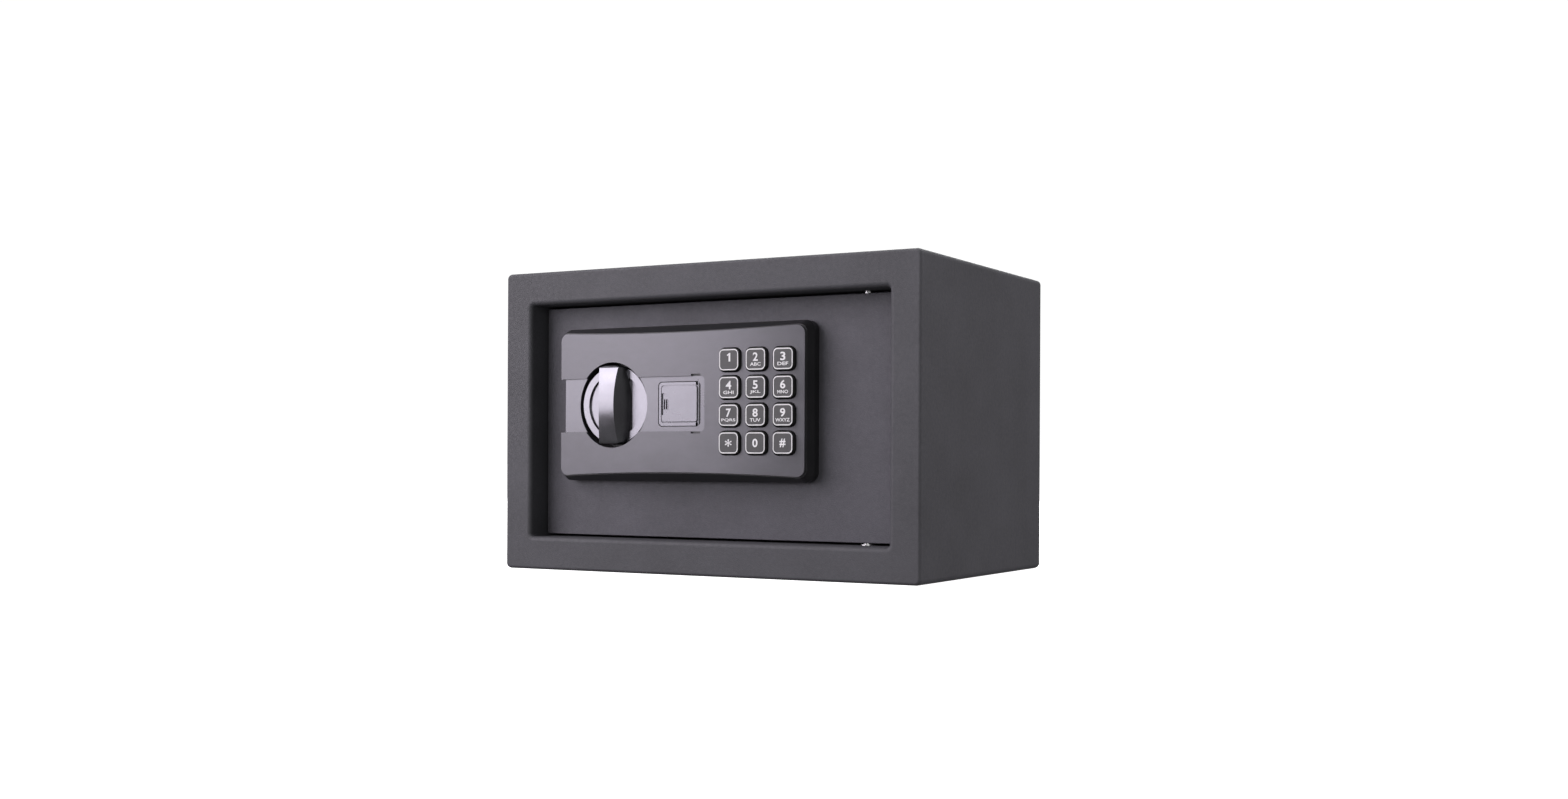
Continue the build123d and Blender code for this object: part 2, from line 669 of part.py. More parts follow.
def solenoid_plunger():
    """The plunger that drops into the carriage, with the collar for its spring."""
    plunger = rod_z(SOLENOID_X, SOLENOID_Y, PLUNGER_D, (PLUNGER_TIP, 164))
    plunger = chamfer(plunger.edges().group_by(Axis.Z)[0], 0.6)
    return plunger + rod_z(SOLENOID_X, SOLENOID_Y, 9.4, COLLAR_Z)


def solenoid_spring():
    """The light spring between the solenoid frame and the plunger's collar."""
    wire = 0.7
    turns = 3
    low = COLLAR_Z[1] + wire / 2 + 0.02
    high = SOLENOID_Z[0] - wire / 2 - 0.02
    path = Helix(pitch=(high - low) / turns, height=high - low, radius=3.6)
    path = Pos(SOLENOID_X, SOLENOID_Y, low) * path
    section = Plane(path @ 0, z_dir=path % 0) * Circle(wire / 2)
    return sweep(section, path=path)


# Override lock


def override_cover():
    """The flap over the override lock, with a raised face and a ribbed thumb notch."""
    width = FLAP_W - 2 * FLAP_FIT
    height = FLAP_H - 2 * FLAP_FIT
    hinge_y = out(FLAP_HINGE_OUT)
    flap = slab(FLAP_X, FLAP_Z, width, height, FLAP_CORNER - FLAP_FIT, (out(FLAP_RIM), out(FLAP_BACK)))
    z = (FLAP_Z - height / 2, FLAP_Z + height / 2)
    flap -= block((FLAP_HINGE_X, FLAP_X + FLAP_W), (out(20), out(10)), (z[0] - 1, z[1] + 1))
    relief_y = (out(FLAP_HINGE_OUT - 0.9), out(FLAP_BACK - 1))
    flap -= block((FLAP_HINGE_X - FLAP_RELIEF, FLAP_HINGE_X + 1), relief_y, (z[0] - 1, z[1] + 1))
    for end in ((z[0] - 1, z[0] + 2.2), (z[1] - 2.2, z[1] + 1)):
        flap -= block((FLAP_HINGE_X - 2, FLAP_HINGE_X + 1), (out(20), out(10)), end)
    knuckle_d = 2 * (FLAP_X + width / 2 - FLAP_HINGE_X)
    flap += rod_z(FLAP_HINGE_X, hinge_y, knuckle_d, (z[0] + 2, z[1] - 2))
    left = FLAP_X - width / 2 + 2.2
    right = FLAP_HINGE_X - 0.7
    face_w = right - left
    face_h = height - 4.6
    middle = (left + right) / 2
    groove_w = face_w + 2 * FLAP_GROOVE
    groove_h = face_h + 2 * FLAP_GROOVE
    groove_y = (out(FLAP_FACE), out(FLAP_RIM - 0.5))
    flap -= slab(middle, FLAP_Z, groove_w, groove_h, 1.6 + FLAP_GROOVE, groove_y)
    panel = slab(middle, FLAP_Z, face_w, face_h, 1.6, (out(FLAP_FACE), out(FLAP_RIM - 0.5)))
    panel = fillet(panel.edges().group_by(Axis.Y)[0], 0.4)
    flap += panel
    notch = slab(left + 1.2, FLAP_Z, 8.4, 14, 4.1, (out(FLAP_FACE + 1), out(FLAP_RIM - 1.2)))
    flap -= notch & block((left - 0.4, left + 6), (out(20), out(10)), (z[0], z[1]))
    for step in range(3):
        x = left + 1.2 + 1.7 * step
        flap += slab(x, FLAP_Z, 0.6, 6.4, 0.28, (out(FLAP_RIM + 0.1), out(FLAP_RIM - 1.4)))
    return flap + flap_pin(1.6)


def lock_barrel():
    """The override lock's body, flanged at the front and threaded for its nut."""
    barrel = rod_y(FLAP_X, FLAP_Z, LOCK_D + 3, (out(5.5), out(4)))
    barrel += rod_y(FLAP_X, FLAP_Z, LOCK_D, (out(4), DOOR_REAR + 12))
    return barrel - rod_y(FLAP_X, FLAP_Z, PLUG_D + 0.1, (out(8), DOOR_REAR + 14))


def lock_nut():
    """The hexagon nut behind the door plate."""
    hexagon = front_plane(DOOR_REAR + 4) * Pos(FLAP_X, FLAP_Z) * RegularPolygon(12.7, 6)
    nut = extrude(hexagon, amount=4)
    return nut - rod_y(FLAP_X, FLAP_Z, LOCK_D, (DOOR_REAR - 1, DOOR_REAR + 5))


def lock_plug():
    """The turning plug with its keyway and tail."""
    plug = rod_y(FLAP_X, FLAP_Z, PLUG_D, (out(6.5), DOOR_REAR + 12))
    plug += rod_y(FLAP_X, FLAP_Z, 7, (DOOR_REAR + 12, DOOR_REAR + 16))
    keyway = block((FLAP_X - 0.7, FLAP_X + 0.7), (out(8), out(-6)), (FLAP_Z - 3.2, FLAP_Z + 3.2))
    return plug - keyway


def lock_cam():
    """The lever on the plug's tail."""
    y = (DOOR_REAR + 12.4, DOOR_REAR + 14.4)
    lever = rod_y(FLAP_X, FLAP_Z, 13, y)
    lever += block((FLAP_X - 4.5, FLAP_X + 4.5), y, (FLAP_Z - 20, FLAP_Z))
    lever += rod_y(FLAP_X, FLAP_Z - 20, 9, y)
    return lever - rod_y(FLAP_X, FLAP_Z, 7, (y[0] - 1, y[1] + 1))


# Inner cover, batteries and electronics


def cover_post_places():
    """The middles of the four posts that hold the inner cover."""
    return [(x, z) for x in (-114.0, 84.0) for z in (37.0, 163.0)]


def inner_cover():
    """The sheet box behind the door, with openings for bolts, batteries and reset."""
    middle_x = sum(COVER_X) / 2
    width = COVER_X[1] - COVER_X[0]
    height = COVER_Z[1] - COVER_Z[0]
    y = (DOOR_REAR, COVER_REAR)
    cover = slab(middle_x, MIDDLE_Z, width, height, 3, y)
    cover = fillet(cover.edges().group_by(Axis.Y)[-1], 1.8)
    inner_y = (DOOR_REAR - 1, COVER_REAR - COVER_SHEET)
    inner_w = width - 2 * COVER_SHEET
    inner_h = height - 2 * COVER_SHEET
    cover -= slab(middle_x, MIDDLE_Z, inner_w, inner_h, 3 - COVER_SHEET, inner_y)
    through = (COVER_REAR - 3, COVER_REAR + 1)
    tray_w = TRAY_X[1] - TRAY_X[0] - 2
    tray_h = TRAY_Z[1] - TRAY_Z[0] - 2
    cover -= slab(sum(TRAY_X) / 2, sum(TRAY_Z) / 2, tray_w, tray_h, 1.5, through)
    cover -= rod_y(RESET_X, RESET_Z, 8, through)
    for row in BOLT_ROWS:
        hole = BOLT_D + 2 * BOLT_PLAY
        cover -= rod_x(BOLT_Y, row, hole, (COVER_X[0] - 1, COVER_X[0] + 3))
    for x, z in cover_post_places():
        cover -= rod_y(x, z, 3.4, through)
    return cover


def cover_posts():
    """Four hexagon posts between the door plate and the inner cover."""
    posts = []
    rear = COVER_REAR - COVER_SHEET
    for x, z in cover_post_places():
        post = extrude(front_plane(rear) * Pos(x, z) * RegularPolygon(4, 6), amount=rear - DOOR_REAR)
        posts.append(post - rod_y(x, z, 3, (rear - 8, rear + 1)))
    return posts


def cover_screws():
    """Four pan-headed screws in the inner cover."""
    screws = []
    for x, z in cover_post_places():
        head = rod_y(x, z, 6, (COVER_REAR, COVER_REAR + 2))
        head = fillet(head.edges().group_by(Axis.Y)[-1], 0.8)
        slot_z = (z - 0.4, z + 0.4)
        head -= block((x - 2, x + 2), (COVER_REAR + 1, COVER_REAR + 3), slot_z)
        head -= block((x - 0.4, x + 0.4), (COVER_REAR + 1, COVER_REAR + 3), (z - 2, z + 2))
        screws.append(head + rod_y(x, z, 3, (COVER_REAR - 7, COVER_REAR)))
    return screws


def battery_tray():
    """The open tray for four cells, let into the inner cover."""
    rear = COVER_REAR - COVER_SHEET
    tray = block(TRAY_X, (TRAY_FLOOR_Y, rear), TRAY_Z)
    inside_x = (TRAY_X[0] + 1, TRAY_X[1] - 1)
    inside_z = (TRAY_Z[0] + 1, TRAY_Z[1] - 1)
    return tray - block(inside_x, (TRAY_FLOOR_Y + SHEET, rear + 1), inside_z)


def battery_places():
    """The x of each cell's middle."""
    middle = sum(TRAY_X) / 2
    return [middle + BATTERY_PITCH * (step - 1.5) for step in range(4)]


def battery_cells():
    """Four cells standing side by side, turned end for end in turn."""
    y = TRAY_FLOOR_Y + SHEET + BATTERY_D / 2 + 0.2
    cells = []
    for index, x in enumerate(battery_places()):
        low = sum(TRAY_Z) / 2 - BATTERY_L / 2
        high = low + BATTERY_L
        body = (low, high - 1.2) if index % 2 else (low + 1.2, high)
        nub = (high - 1.2, high) if index % 2 else (low, low + 1.2)
        cell = rod_z(x, y, BATTERY_D, body)
        cell = fillet(cell.edges(), 0.6)
        cells.append(cell + rod_z(x, y, 5, nub))
    return cells


def battery_contacts():
    """Spring plates at both ends of the cells."""
    y = TRAY_FLOOR_Y + SHEET + BATTERY_D / 2 + 0.2
    contacts = []
    low = TRAY_Z[0] + 1
    high = TRAY_Z[1] - 1
    cell_low = sum(TRAY_Z) / 2 - BATTERY_L / 2
    cell_high = cell_low + BATTERY_L
    for x in battery_places():
        span = (x - 5.5, x + 5.5)
        lower = block(span, (y - 5.5, y + 5.5), (low, low + 0.5))
        lower += Pos(x, y, (low + 0.5 + cell_low) / 2) * Cone(4, 2, cell_low - low - 0.5)
        upper = block(span, (y - 5.5, y + 5.5), (high - 0.5, high))
        upper += Pos(x, y, (high - 0.5 + cell_high) / 2) * Cone(2, 4, high - 0.5 - cell_high)
        contacts.extend((lower, upper))
    return contacts


def battery_cover():
    """The sliding lid over the cells, with two guide ribs and a thumb grip."""
    x = (TRAY_X[0] - 1, TRAY_X[1] + 1)
    z = (TRAY_Z[0] - 1, TRAY_Z[1] + 1)
    y = (COVER_REAR + 0.1, COVER_REAR + 1.9)
    lid = block(x, y, z)
    lid = fillet(lid.edges().filter_by(Axis.Y), 3)
    lid = fillet(lid.edges().group_by(Axis.Y)[-1], 0.8)
    for rib_x in (TRAY_X[0] + 1.8, TRAY_X[1] - 3.0):
        lid += block((rib_x, rib_x + 1.2), (COVER_REAR - 1.1, y[0]), (z[0] + 12, z[1] - 12))
    for step in range(5):
        rib_z = z[1] - 8 - 2.2 * step
        middle = sum(x) / 2
        lid += block((middle - 10, middle + 10), (y[1], y[1] + 0.7), (rib_z, rib_z + 1.0))
    return lid


def control_board():
    """The lock's control board, with a buzzer and a chip on its rear face."""
    board = block(BOARD_X, BOARD_Y, BOARD_Z)
    chip = block((40, 50), (BOARD_Y[1], BOARD_Y[1] + 1.6), (134, 141))
    return board + chip


def board_standoffs():
    """Four spacers between the door plate and the control board."""
    places = [(x, z) for x in (BOARD_X[0] + 4, BOARD_X[1] - 4) for z in (BOARD_Z[0] + 4, BOARD_Z[1] - 4)]
    return [rod_y(x, z, 5, (DOOR_REAR, BOARD_Y[0])) for x, z in places]


def buzzer():
    """The round buzzer on the control board."""
    can = rod_y(32, 147, 12, (BOARD_Y[1], BOARD_Y[1] + 7))
    can = fillet(can.edges().group_by(Axis.Y)[-1], 0.8)
    return can - rod_y(32, 147, 2, (BOARD_Y[1] + 5, BOARD_Y[1] + 8))


def reset_switch():
    """The push switch behind the reset button."""
    body = block((RESET_X - 6, RESET_X + 6), (BOARD_Y[1], -54), (RESET_Z - 6, RESET_Z + 6))
    return body + rod_y(RESET_X, RESET_Z, 3.5, (-54, -52.4))


def reset_button():
    """The small button that stands in the inner cover."""
    cap = rod_y(RESET_X, RESET_Z, 7.6, (-49.6, COVER_REAR + 2.2))
    cap = fillet(cap.edges().group_by(Axis.Y)[-1], 0.8)
    return cap + rod_y(RESET_X, RESET_Z, 10.5, (-49.6, -48.6))


def lead(name, route):
    """A thin lead along a route, rounded where it turns."""
    radii = []
    for start, corner, end in zip(route, route[1:], route[2:]):
        before = Vector(*corner) - Vector(*start)
        after = Vector(*end) - Vector(*corner)
        half_turn = math.radians(before.get_angle(after)) / 2
        radii.append(0.45 * min(before.length, after.length) / math.tan(half_turn))
    path = FilletPolyline(*route, radius=radii) if radii else Polyline(*route)
    print(name, "bend radii", [round(radius, 1) for radius in radii])
    section = Plane(path @ 0, z_dir=path % 0) * Circle(LEAD_D / 2)
    return sweep(section, path=path)


def solenoid_lead():
    """The lead from the coil to the control board."""
    start_x = SOLENOID_X + 8
    board_y = BOARD_Y[0] + 0.8
    route = [(start_x, -70, 162), (-42, -70, 162), (-10, board_y, 154)]
    route.append((BOARD_X[0], board_y, 154))
    return lead("solenoid_lead", route)


def battery_lead():
    """The lead from the battery tray up to the control board."""
    route = [(76, -60, TRAY_Z[1]), (76, -60, 138), (76, BOARD_Y[1], 138)]
    return lead("battery_lead", route)


def keypad_lead():
    """The lead from the keypad board back through the door plate."""
    route = [(52, out(2.4), 140), (52, BOARD_Y[0], 140)]
    return lead("keypad_lead", route)


os.makedirs("parts", exist_ok=True)

save("cabinet_wrap", cabinet_wrap())
save("front_frame", front_frame())
save("back_panel", back_panel())
save("hinge_bushes", *hinge_bushes())
save("door_stops", *door_stops())
save("floor_mat", floor_mat())

save("door_plate", door_plate())
save("hinge_blocks", *hinge_blocks())
save("hinge_pins", *hinge_pins())
save("keypad_housing", keypad_housing())
save("keypad_fascia", keypad_fascia())
save("fascia_inlay", fascia_inlay())
save("keypad_board", keypad_board())
save("keypad_membrane", keypad_membrane())
save("housing_screws", *housing_screws())
for key_name, key_place in zip(KEY_NAMES, key_places()):
    save(f"key_{key_name}", key(*key_place))

save("knob", knob())
save("knob_shaft", knob_shaft())
save("shaft_bush", shaft_bush())
save("knob_cam", knob_cam())
save("cam_screw", cam_screw())

save("bolt_carriage", bolt_carriage())
save("locking_bolts", *locking_bolts())
save("carriage_studs", *carriage_studs())
save("solenoid_frame", solenoid_frame())
save("solenoid_coil", solenoid_coil())
save("solenoid_plunger", solenoid_plunger())
save("solenoid_spring", solenoid_spring())

save("override_cover", override_cover())
save("override_lock_barrel", lock_barrel())
save("override_lock_nut", lock_nut())
save("override_lock_plug", lock_plug())
save("override_lock_cam", lock_cam())

save("inner_cover", inner_cover())
save("cover_posts", *cover_posts())
save("cover_screws", *cover_screws())
save("battery_tray", battery_tray())
save("battery_cells", *battery_cells())
save("battery_contacts", *battery_contacts())
save("battery_cover", battery_cover())
save("control_board", control_board())
save("board_standoffs", *board_standoffs())
save("buzzer", buzzer())
save("reset_switch", reset_switch())
save("reset_button", reset_button())
save("solenoid_lead", solenoid_lead())
save("battery_lead", battery_lead())
save("keypad_lead", keypad_lead())
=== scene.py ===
"""In room safe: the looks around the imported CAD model. Metres, in the CAD's own frame."""

import json
import math

import bmesh
import bpy
from mathutils import Matrix, Vector


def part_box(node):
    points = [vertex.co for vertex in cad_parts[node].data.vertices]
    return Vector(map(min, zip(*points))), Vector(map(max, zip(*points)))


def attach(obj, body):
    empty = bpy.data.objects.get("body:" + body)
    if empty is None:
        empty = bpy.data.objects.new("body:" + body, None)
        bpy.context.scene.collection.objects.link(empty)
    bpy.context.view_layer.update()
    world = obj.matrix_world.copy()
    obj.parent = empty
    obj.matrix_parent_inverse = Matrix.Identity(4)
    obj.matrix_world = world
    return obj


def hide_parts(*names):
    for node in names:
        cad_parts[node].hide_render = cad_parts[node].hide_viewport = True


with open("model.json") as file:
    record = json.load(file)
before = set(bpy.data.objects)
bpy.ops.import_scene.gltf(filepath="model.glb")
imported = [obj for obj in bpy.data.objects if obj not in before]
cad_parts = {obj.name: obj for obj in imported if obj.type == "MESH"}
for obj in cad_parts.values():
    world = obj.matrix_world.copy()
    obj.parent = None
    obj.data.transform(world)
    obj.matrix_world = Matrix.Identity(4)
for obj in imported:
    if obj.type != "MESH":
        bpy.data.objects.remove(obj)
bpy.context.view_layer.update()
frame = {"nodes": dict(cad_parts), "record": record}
nodes = frame["nodes"]

MM = 0.001

# Camera: off to the right, level and low, with a slight roll.
CAMERA_AT = Vector((0.5585, -0.9840, 0.0727))
CAMERA_YAW = 29.3
CAMERA_ROLL = 0.26
CAMERA_LENS = 37.69
CAMERA_SHIFT = 0.0401

AMBIENT = 0.22
SOFTBOX_TINT = (1.0, 0.94, 1.02)

# Each key's digit, its letters, and the digit's width in mm.
KEY_TEXT = {
    "1": ("1", "", 2.3),
    "2": ("2", "ABC", 3.6),
    "3": ("3", "DEF", 3.6),
    "4": ("4", "GHI", 4.0),
    "5": ("5", "JKL", 3.6),
    "6": ("6", "MNO", 3.7),
    "7": ("7", "PQRS", 3.6),
    "8": ("8", "TUV", 3.7),
    "9": ("9", "WXYZ", 3.7),
    "star": ("*", "", 4.9),
    "0": ("0", "", 3.7),
    "hash": ("#", "", 4.3),
}
DIGIT_H = 5.3 * MM
STAR_H = 4.7 * MM
DIGIT_LIFT = 1.5 * MM
DIGIT_WEIGHT = 0.02
STAR_WEIGHT = 0.006
LETTER_W = 2.55 * MM
LETTER_H = 2.1 * MM
LETTER_DROP = 3.1 * MM
LETTER_WEIGHT = 0.016
OUTLINE_W = 13.8 * MM
OUTLINE_H = 13.1 * MM
OUTLINE_CORNER = 2.9 * MM
OUTLINE_LINE = 0.62 * MM
INK_RISE = 0.03 * MM
WELD = 0.001 * MM

# The mat's rounded corners, and its two holes over the cabinet's anchor holes.
MAT_CORNER = 4 * MM
MAT_HOLE_R = 7 * MM
MAT_HOLE_X = 80 * MM


# Shader helpers


class Shader:
    """A material under construction: one Principled shader and the nodes that feed it."""

    def __init__(self, name):
        self.material = bpy.data.materials.new(name)
        self.material.use_nodes = True
        self.tree = self.material.node_tree
        self.surface = self.tree.nodes["Principled BSDF"]
        self.place = self.tree.nodes.new("ShaderNodeTexCoord").outputs["Object"]

    def link(self, source, target):
        self.tree.links.new(source, target)

    def set(self, **values):
        for name, value in values.items():
            self.surface.inputs[name.replace("_", " ")].default_value = value

    def stretched(self, scale):
        """The object's own coordinates, scaled unevenly, for grain and brushing."""
        node = self.tree.nodes.new("ShaderNodeMapping")
        node.inputs["Scale"].default_value = scale
        self.link(self.place, node.inputs["Vector"])
        return node.outputs["Vector"]

    def noise(self, scale, detail=2.0, roughness=0.5, place=None):
        """Noise, with scale in features per metre."""
        node = self.tree.nodes.new("ShaderNodeTexNoise")
        node.inputs["Scale"].default_value = scale
        node.inputs["Detail"].default_value = detail
        node.inputs["Roughness"].default_value = roughness
        self.link(place or self.place, node.inputs["Vector"])
        return node.outputs["Fac"]

    def cells(self, scale, place=None):
        """Rounded grains, with scale in grains per metre."""
        node = self.tree.nodes.new("ShaderNodeTexVoronoi")
        node.feature = "SMOOTH_F1"
        node.inputs["Scale"].default_value = scale
        self.link(place or self.place, node.inputs["Vector"])
        return node.outputs["Distance"]

    def spread(self, value, low, high, start=0.3, stop=0.7):
        """Maps a texture's middle range onto low to high."""
        node = self.tree.nodes.new("ShaderNodeMapRange")
        node.inputs["From Min"].default_value = start
        node.inputs["From Max"].default_value = stop
        node.inputs["To Min"].default_value = low
        node.inputs["To Max"].default_value = high
        self.link(value, node.inputs["Value"])
        return node.outputs["Result"]

    def sum(self, a, b, share):
        """a plus share times b."""
        node = self.tree.nodes.new("ShaderNodeMath")
        node.operation = "MULTIPLY_ADD"
        self.link(b, node.inputs[0])
        node.inputs[1].default_value = share
        self.link(a, node.inputs[2])
        return node.outputs["Value"]

    def colour(self, value, dark, light, start=0.3, stop=0.7):
        """A colour that runs from dark to light as the texture rises."""
        node = self.tree.nodes.new("ShaderNodeValToRGB")
        node.color_ramp.elements[0].position = start
        node.color_ramp.elements[1].position = stop
        node.color_ramp.elements[0].color = (*dark, 1)
        node.color_ramp.elements[1].color = (*light, 1)
        self.link(value, node.inputs["Fac"])
        self.link(node.outputs["Color"], self.surface.inputs["Base Color"])
        return node.outputs["Color"]

    def rough(self, value, low, high):
        self.link(self.spread(value, low, high), self.surface.inputs["Roughness"])

    def bump(self, height, depth, strength=1.0):
        """Surface relief, with depth in metres."""
        node = self.tree.nodes.new("ShaderNodeBump")
        node.inputs["Strength"].default_value = strength
        node.inputs["Distance"].default_value = depth
        self.link(height, node.inputs["Height"])
        self.link(node.outputs["Normal"], self.surface.inputs["Normal"])


def grey(level, tint=(1.0, 1.0, 1.0)):
    return tuple(level * part for part in tint)


COOL = (0.98, 0.97, 1.06)
CHARCOAL = (0.97, 0.97, 1.1)
PLUM = (0.98, 0.95, 1.14)


def powder_coat(name, level, roughness, tint):
    """Fine sand-textured powder coat: soft orange peel, grains and a faint mottle."""
    shader = Shader(name)
    grains = shader.cells(1500)
    peel = shader.noise(420, 3.0)
    mottle = shader.noise(22, 4.0, 0.6)
    tone = shader.sum(mottle, grains, 0.25)
    shader.colour(tone, grey(level * 0.86, tint), grey(level * 1.16, tint), 0.42, 0.82)
    shader.rough(peel, roughness - 0.05, roughness + 0.05)
    shader.bump(shader.sum(grains, peel, 0.8), 0.00012, 0.55)
    return shader.material


def moulded(name, level, roughness, grain=0.00002, tint=COOL, metal=0.0):
    """Moulded plastic, with metallic paint on it or not: a fine grain and slight flow marks."""
    shader = Shader(name)
    spark = shader.noise(2600, 2.0)
    flow = shader.noise(26, 4.0, 0.6, shader.stretched((1.0, 1.0, 1.8)))
    shader.colour(flow, grey(level * 0.84, tint), grey(level * 1.16, tint))
    shader.rough(flow, roughness - 0.05, roughness + 0.05)
    shader.bump(spark, grain, 0.5)
    shader.set(Metallic=metal)
    return shader.material


def satin_metal(name, level, roughness, tint=(1.0, 1.0, 1.0), brushed=(1, 1, 1), grain=0.00002):
    """Plated or turned metal with a fine lay."""
    shader = Shader(name)
    lay = shader.noise(900, 3.0, 0.6, shader.stretched(brushed))
    stain = shader.noise(60, 3.0)
    shader.colour(stain, grey(level * 0.88, tint), grey(level * 1.06, tint))
    shader.rough(lay, roughness - 0.06, roughness + 0.08)
    shader.bump(lay, grain, 0.4)
    shader.set(Metallic=1.0)
    return shader.material


def rubber(name, level, roughness):
    """Matt silicone rubber with a faint dusting."""
    shader = Shader(name)
    skin = shader.noise(1800, 2.0)
    dust = shader.noise(160, 3.0)
    shader.colour(dust, grey(level * 0.88), grey(level * 1.15))
    shader.rough(skin, roughness - 0.05, roughness + 0.05)
    shader.bump(skin, 0.00003, 0.5)
    return shader.material


def ink(name, level):
    """Screen-printed white ink, a little uneven."""
    shader = Shader(name)
    coat = shader.noise(900, 2.0)
    shader.colour(coat, grey(level * 0.9), grey(level))
    shader.rough(coat, 0.4, 0.55)
    return shader.material


def felt(name, level):
    """Needled felt: short matted fibres."""
    shader = Shader(name)
    fibres = shader.noise(1400, 4.0, 0.7, shader.stretched((1.0, 2.5, 1.0)))
    clumps = shader.noise(160, 3.0, 0.6)
    tone = shader.sum(fibres, clumps, 0.6)
    shader.colour(tone, grey(level * 0.45), grey(level * 1.8), 0.5, 1.1)
    shader.rough(fibres, 0.9, 1.0)
    shader.bump(fibres, 0.0006, 1.0)
    shader.set(Sheen_Weight=0.12, Sheen_Roughness=0.6)
    return shader.material


def circuit_board(name):
    """Green solder resist with a mesh of darker tracks."""
    shader = Shader(name)
    tracks = shader.noise(260, 1.0, 0.5, shader.stretched((1.0, 1.0, 6.0)))
    shader.colour(tracks, (0.006, 0.05, 0.018), (0.015, 0.12, 0.04), 0.45, 0.55)
    shader.rough(tracks, 0.25, 0.4)
    shader.bump(tracks, 0.00006, 0.6)
    return shader.material


MATERIALS = {
    "cabinet_coat": powder_coat("cabinet_coat", 0.039, 0.68, CHARCOAL),
    "door_coat": powder_coat("door_coat", 0.046, 0.66, PLUM),
    "inner_coat": powder_coat("inner_coat", 0.055, 0.6, CHARCOAL),
    "bright_steel": satin_metal("bright_steel", 0.62, 0.26, brushed=(1, 1, 3)),
    "zinc_steel": satin_metal("zinc_steel", 0.5, 0.36, (0.98, 1.0, 1.04)),
    "felt": felt("felt", 0.02),
    "black_plastic": moulded("black_plastic", 0.012, 0.4),
    "face_grey": moulded("face_grey", 0.077, 0.36, metal=0.6),
    "band_grey": moulded("band_grey", 0.1, 0.3, metal=0.7),
    "knob_silver": moulded("knob_silver", 0.145, 0.22, metal=0.88),
    "key_rubber": rubber("key_rubber", 0.024, 0.5),
    "circuit_board": circuit_board("circuit_board"),
    "lock_brass": satin_metal("lock_brass", 0.6, 0.3, (1.0, 0.78, 0.42)),
    "coil_copper": satin_metal("coil_copper", 0.55, 0.35, (1.0, 0.48, 0.28), (1, 1, 14), 0.0001),
    "cell_sleeve": satin_metal("cell_sleeve", 0.25, 0.3, (0.8, 0.9, 1.1)),
    "reset_red": moulded("reset_red", 0.3, 0.3, tint=(1.0, 0.06, 0.05)),
    "lead_sleeve": rubber("lead_sleeve", 0.02, 0.45),
}
WHITE_INK = ink("white_ink", 0.6)
FLAP_PAINT = moulded("flap_paint", 0.12, 0.27, metal=0.8)


def dress_cad_nodes():
    """Gives every CAD node the procedural material of its slot, but the override cover a
    metallic paint of its own.
    """
    slots = {row["node"]: row["material_slot"] for row in frame["record"]["subparts"]}
    for name, node in nodes.items():
        node.data.materials.clear()
        node.data.materials.append(MATERIALS[slots[name]])
    nodes["override_cover"].data.materials.clear()
    nodes["override_cover"].data.materials.append(FLAP_PAINT)


# Mesh helpers


def piece(name, mesh, body, material):
    """Turns a finished mesh into a named piece that rides on a CAD body."""
    mesh.materials.clear()
    mesh.materials.append(material)
    item = bpy.data.objects.new(name, mesh)
    bpy.context.scene.collection.objects.link(item)
    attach(item, body)
    return item


def text_mesh(text, weight, width, height):
    """Flat lettering that fills the given box, thickened by weight, in the XY plane."""
    curve = bpy.data.curves.new("lettering", "FONT")
    curve.body = text
    curve.offset = weight
    curve.extrude = INK_RISE
    curve.resolution_u = 4
    holder = bpy.data.objects.new("lettering", curve)
    bpy.context.scene.collection.objects.link(holder)
    graph = bpy.context.evaluated_depsgraph_get()
    mesh = bpy.data.meshes.new_from_object(holder.evaluated_get(graph))
    bpy.data.objects.remove(holder)
    bpy.data.curves.remove(curve)
    xs = [v.co.x for v in mesh.vertices]
    ys = [v.co.y for v in mesh.vertices]
    middle = Vector(((min(xs) + max(xs)) / 2, (min(ys) + max(ys)) / 2, 0))
    fit = Vector((width / (max(xs) - min(xs)), height / (max(ys) - min(ys)), 1))
    mesh.transform(Matrix.Diagonal(fit).to_4x4() @ Matrix.Translation(-middle))
    return mesh


def digit_one(height):
    """A figure one with a flag, which the built-in lettering lacks, in the XY plane."""
    half = height / 2
    stem = 0.6 * MM
    outline = [
        (stem * 2, -half),
        (stem * 2, half),
        (stem * 0.6, half),
        (-stem * 0.6, half - stem),
        (-stem * 2, half - stem * 1.6),
        (-stem * 2, half - stem * 2.9),
        (0, half - stem * 2.3),
        (0, -half),
    ]
    shape = bmesh.new()
    face = shape.faces.new([shape.verts.new((x, y, -INK_RISE)) for x, y in outline])
    made = bmesh.ops.extrude_face_region(shape, geom=[face])
    lifted = [item for item in made["geom"] if isinstance(item, bmesh.types.BMVert)]
    bmesh.ops.translate(shape, verts=lifted, vec=(0, 0, 2 * INK_RISE))
    mesh = bpy.data.meshes.new("digit_one")
    shape.to_mesh(mesh)
    shape.free()
    return mesh


def upright(mesh, x, z, y):
    """Stands flat lettering up in the plane y, facing the front, centred at x, z."""
    mesh.transform(Matrix.Translation((x, y, z)) @ Matrix.Rotation(math.radians(90), 4, "X"))
    return mesh


def rounded_loop(width, height, corner, steps=8):
    """Points round a rectangle with round corners, centred on the origin."""
    points = []
    centres = [(1, 1, 0), (-1, 1, 90), (-1, -1, 180), (1, -1, 270)]
    for sx, sz, start in centres:
        cx = sx * (width / 2 - corner)
        cz = sz * (height / 2 - corner)
        for step in range(steps + 1):
            angle = math.radians(start + 90 * step / steps)
            points.append((cx + corner * math.cos(angle), cz + corner * math.sin(angle)))
    return points


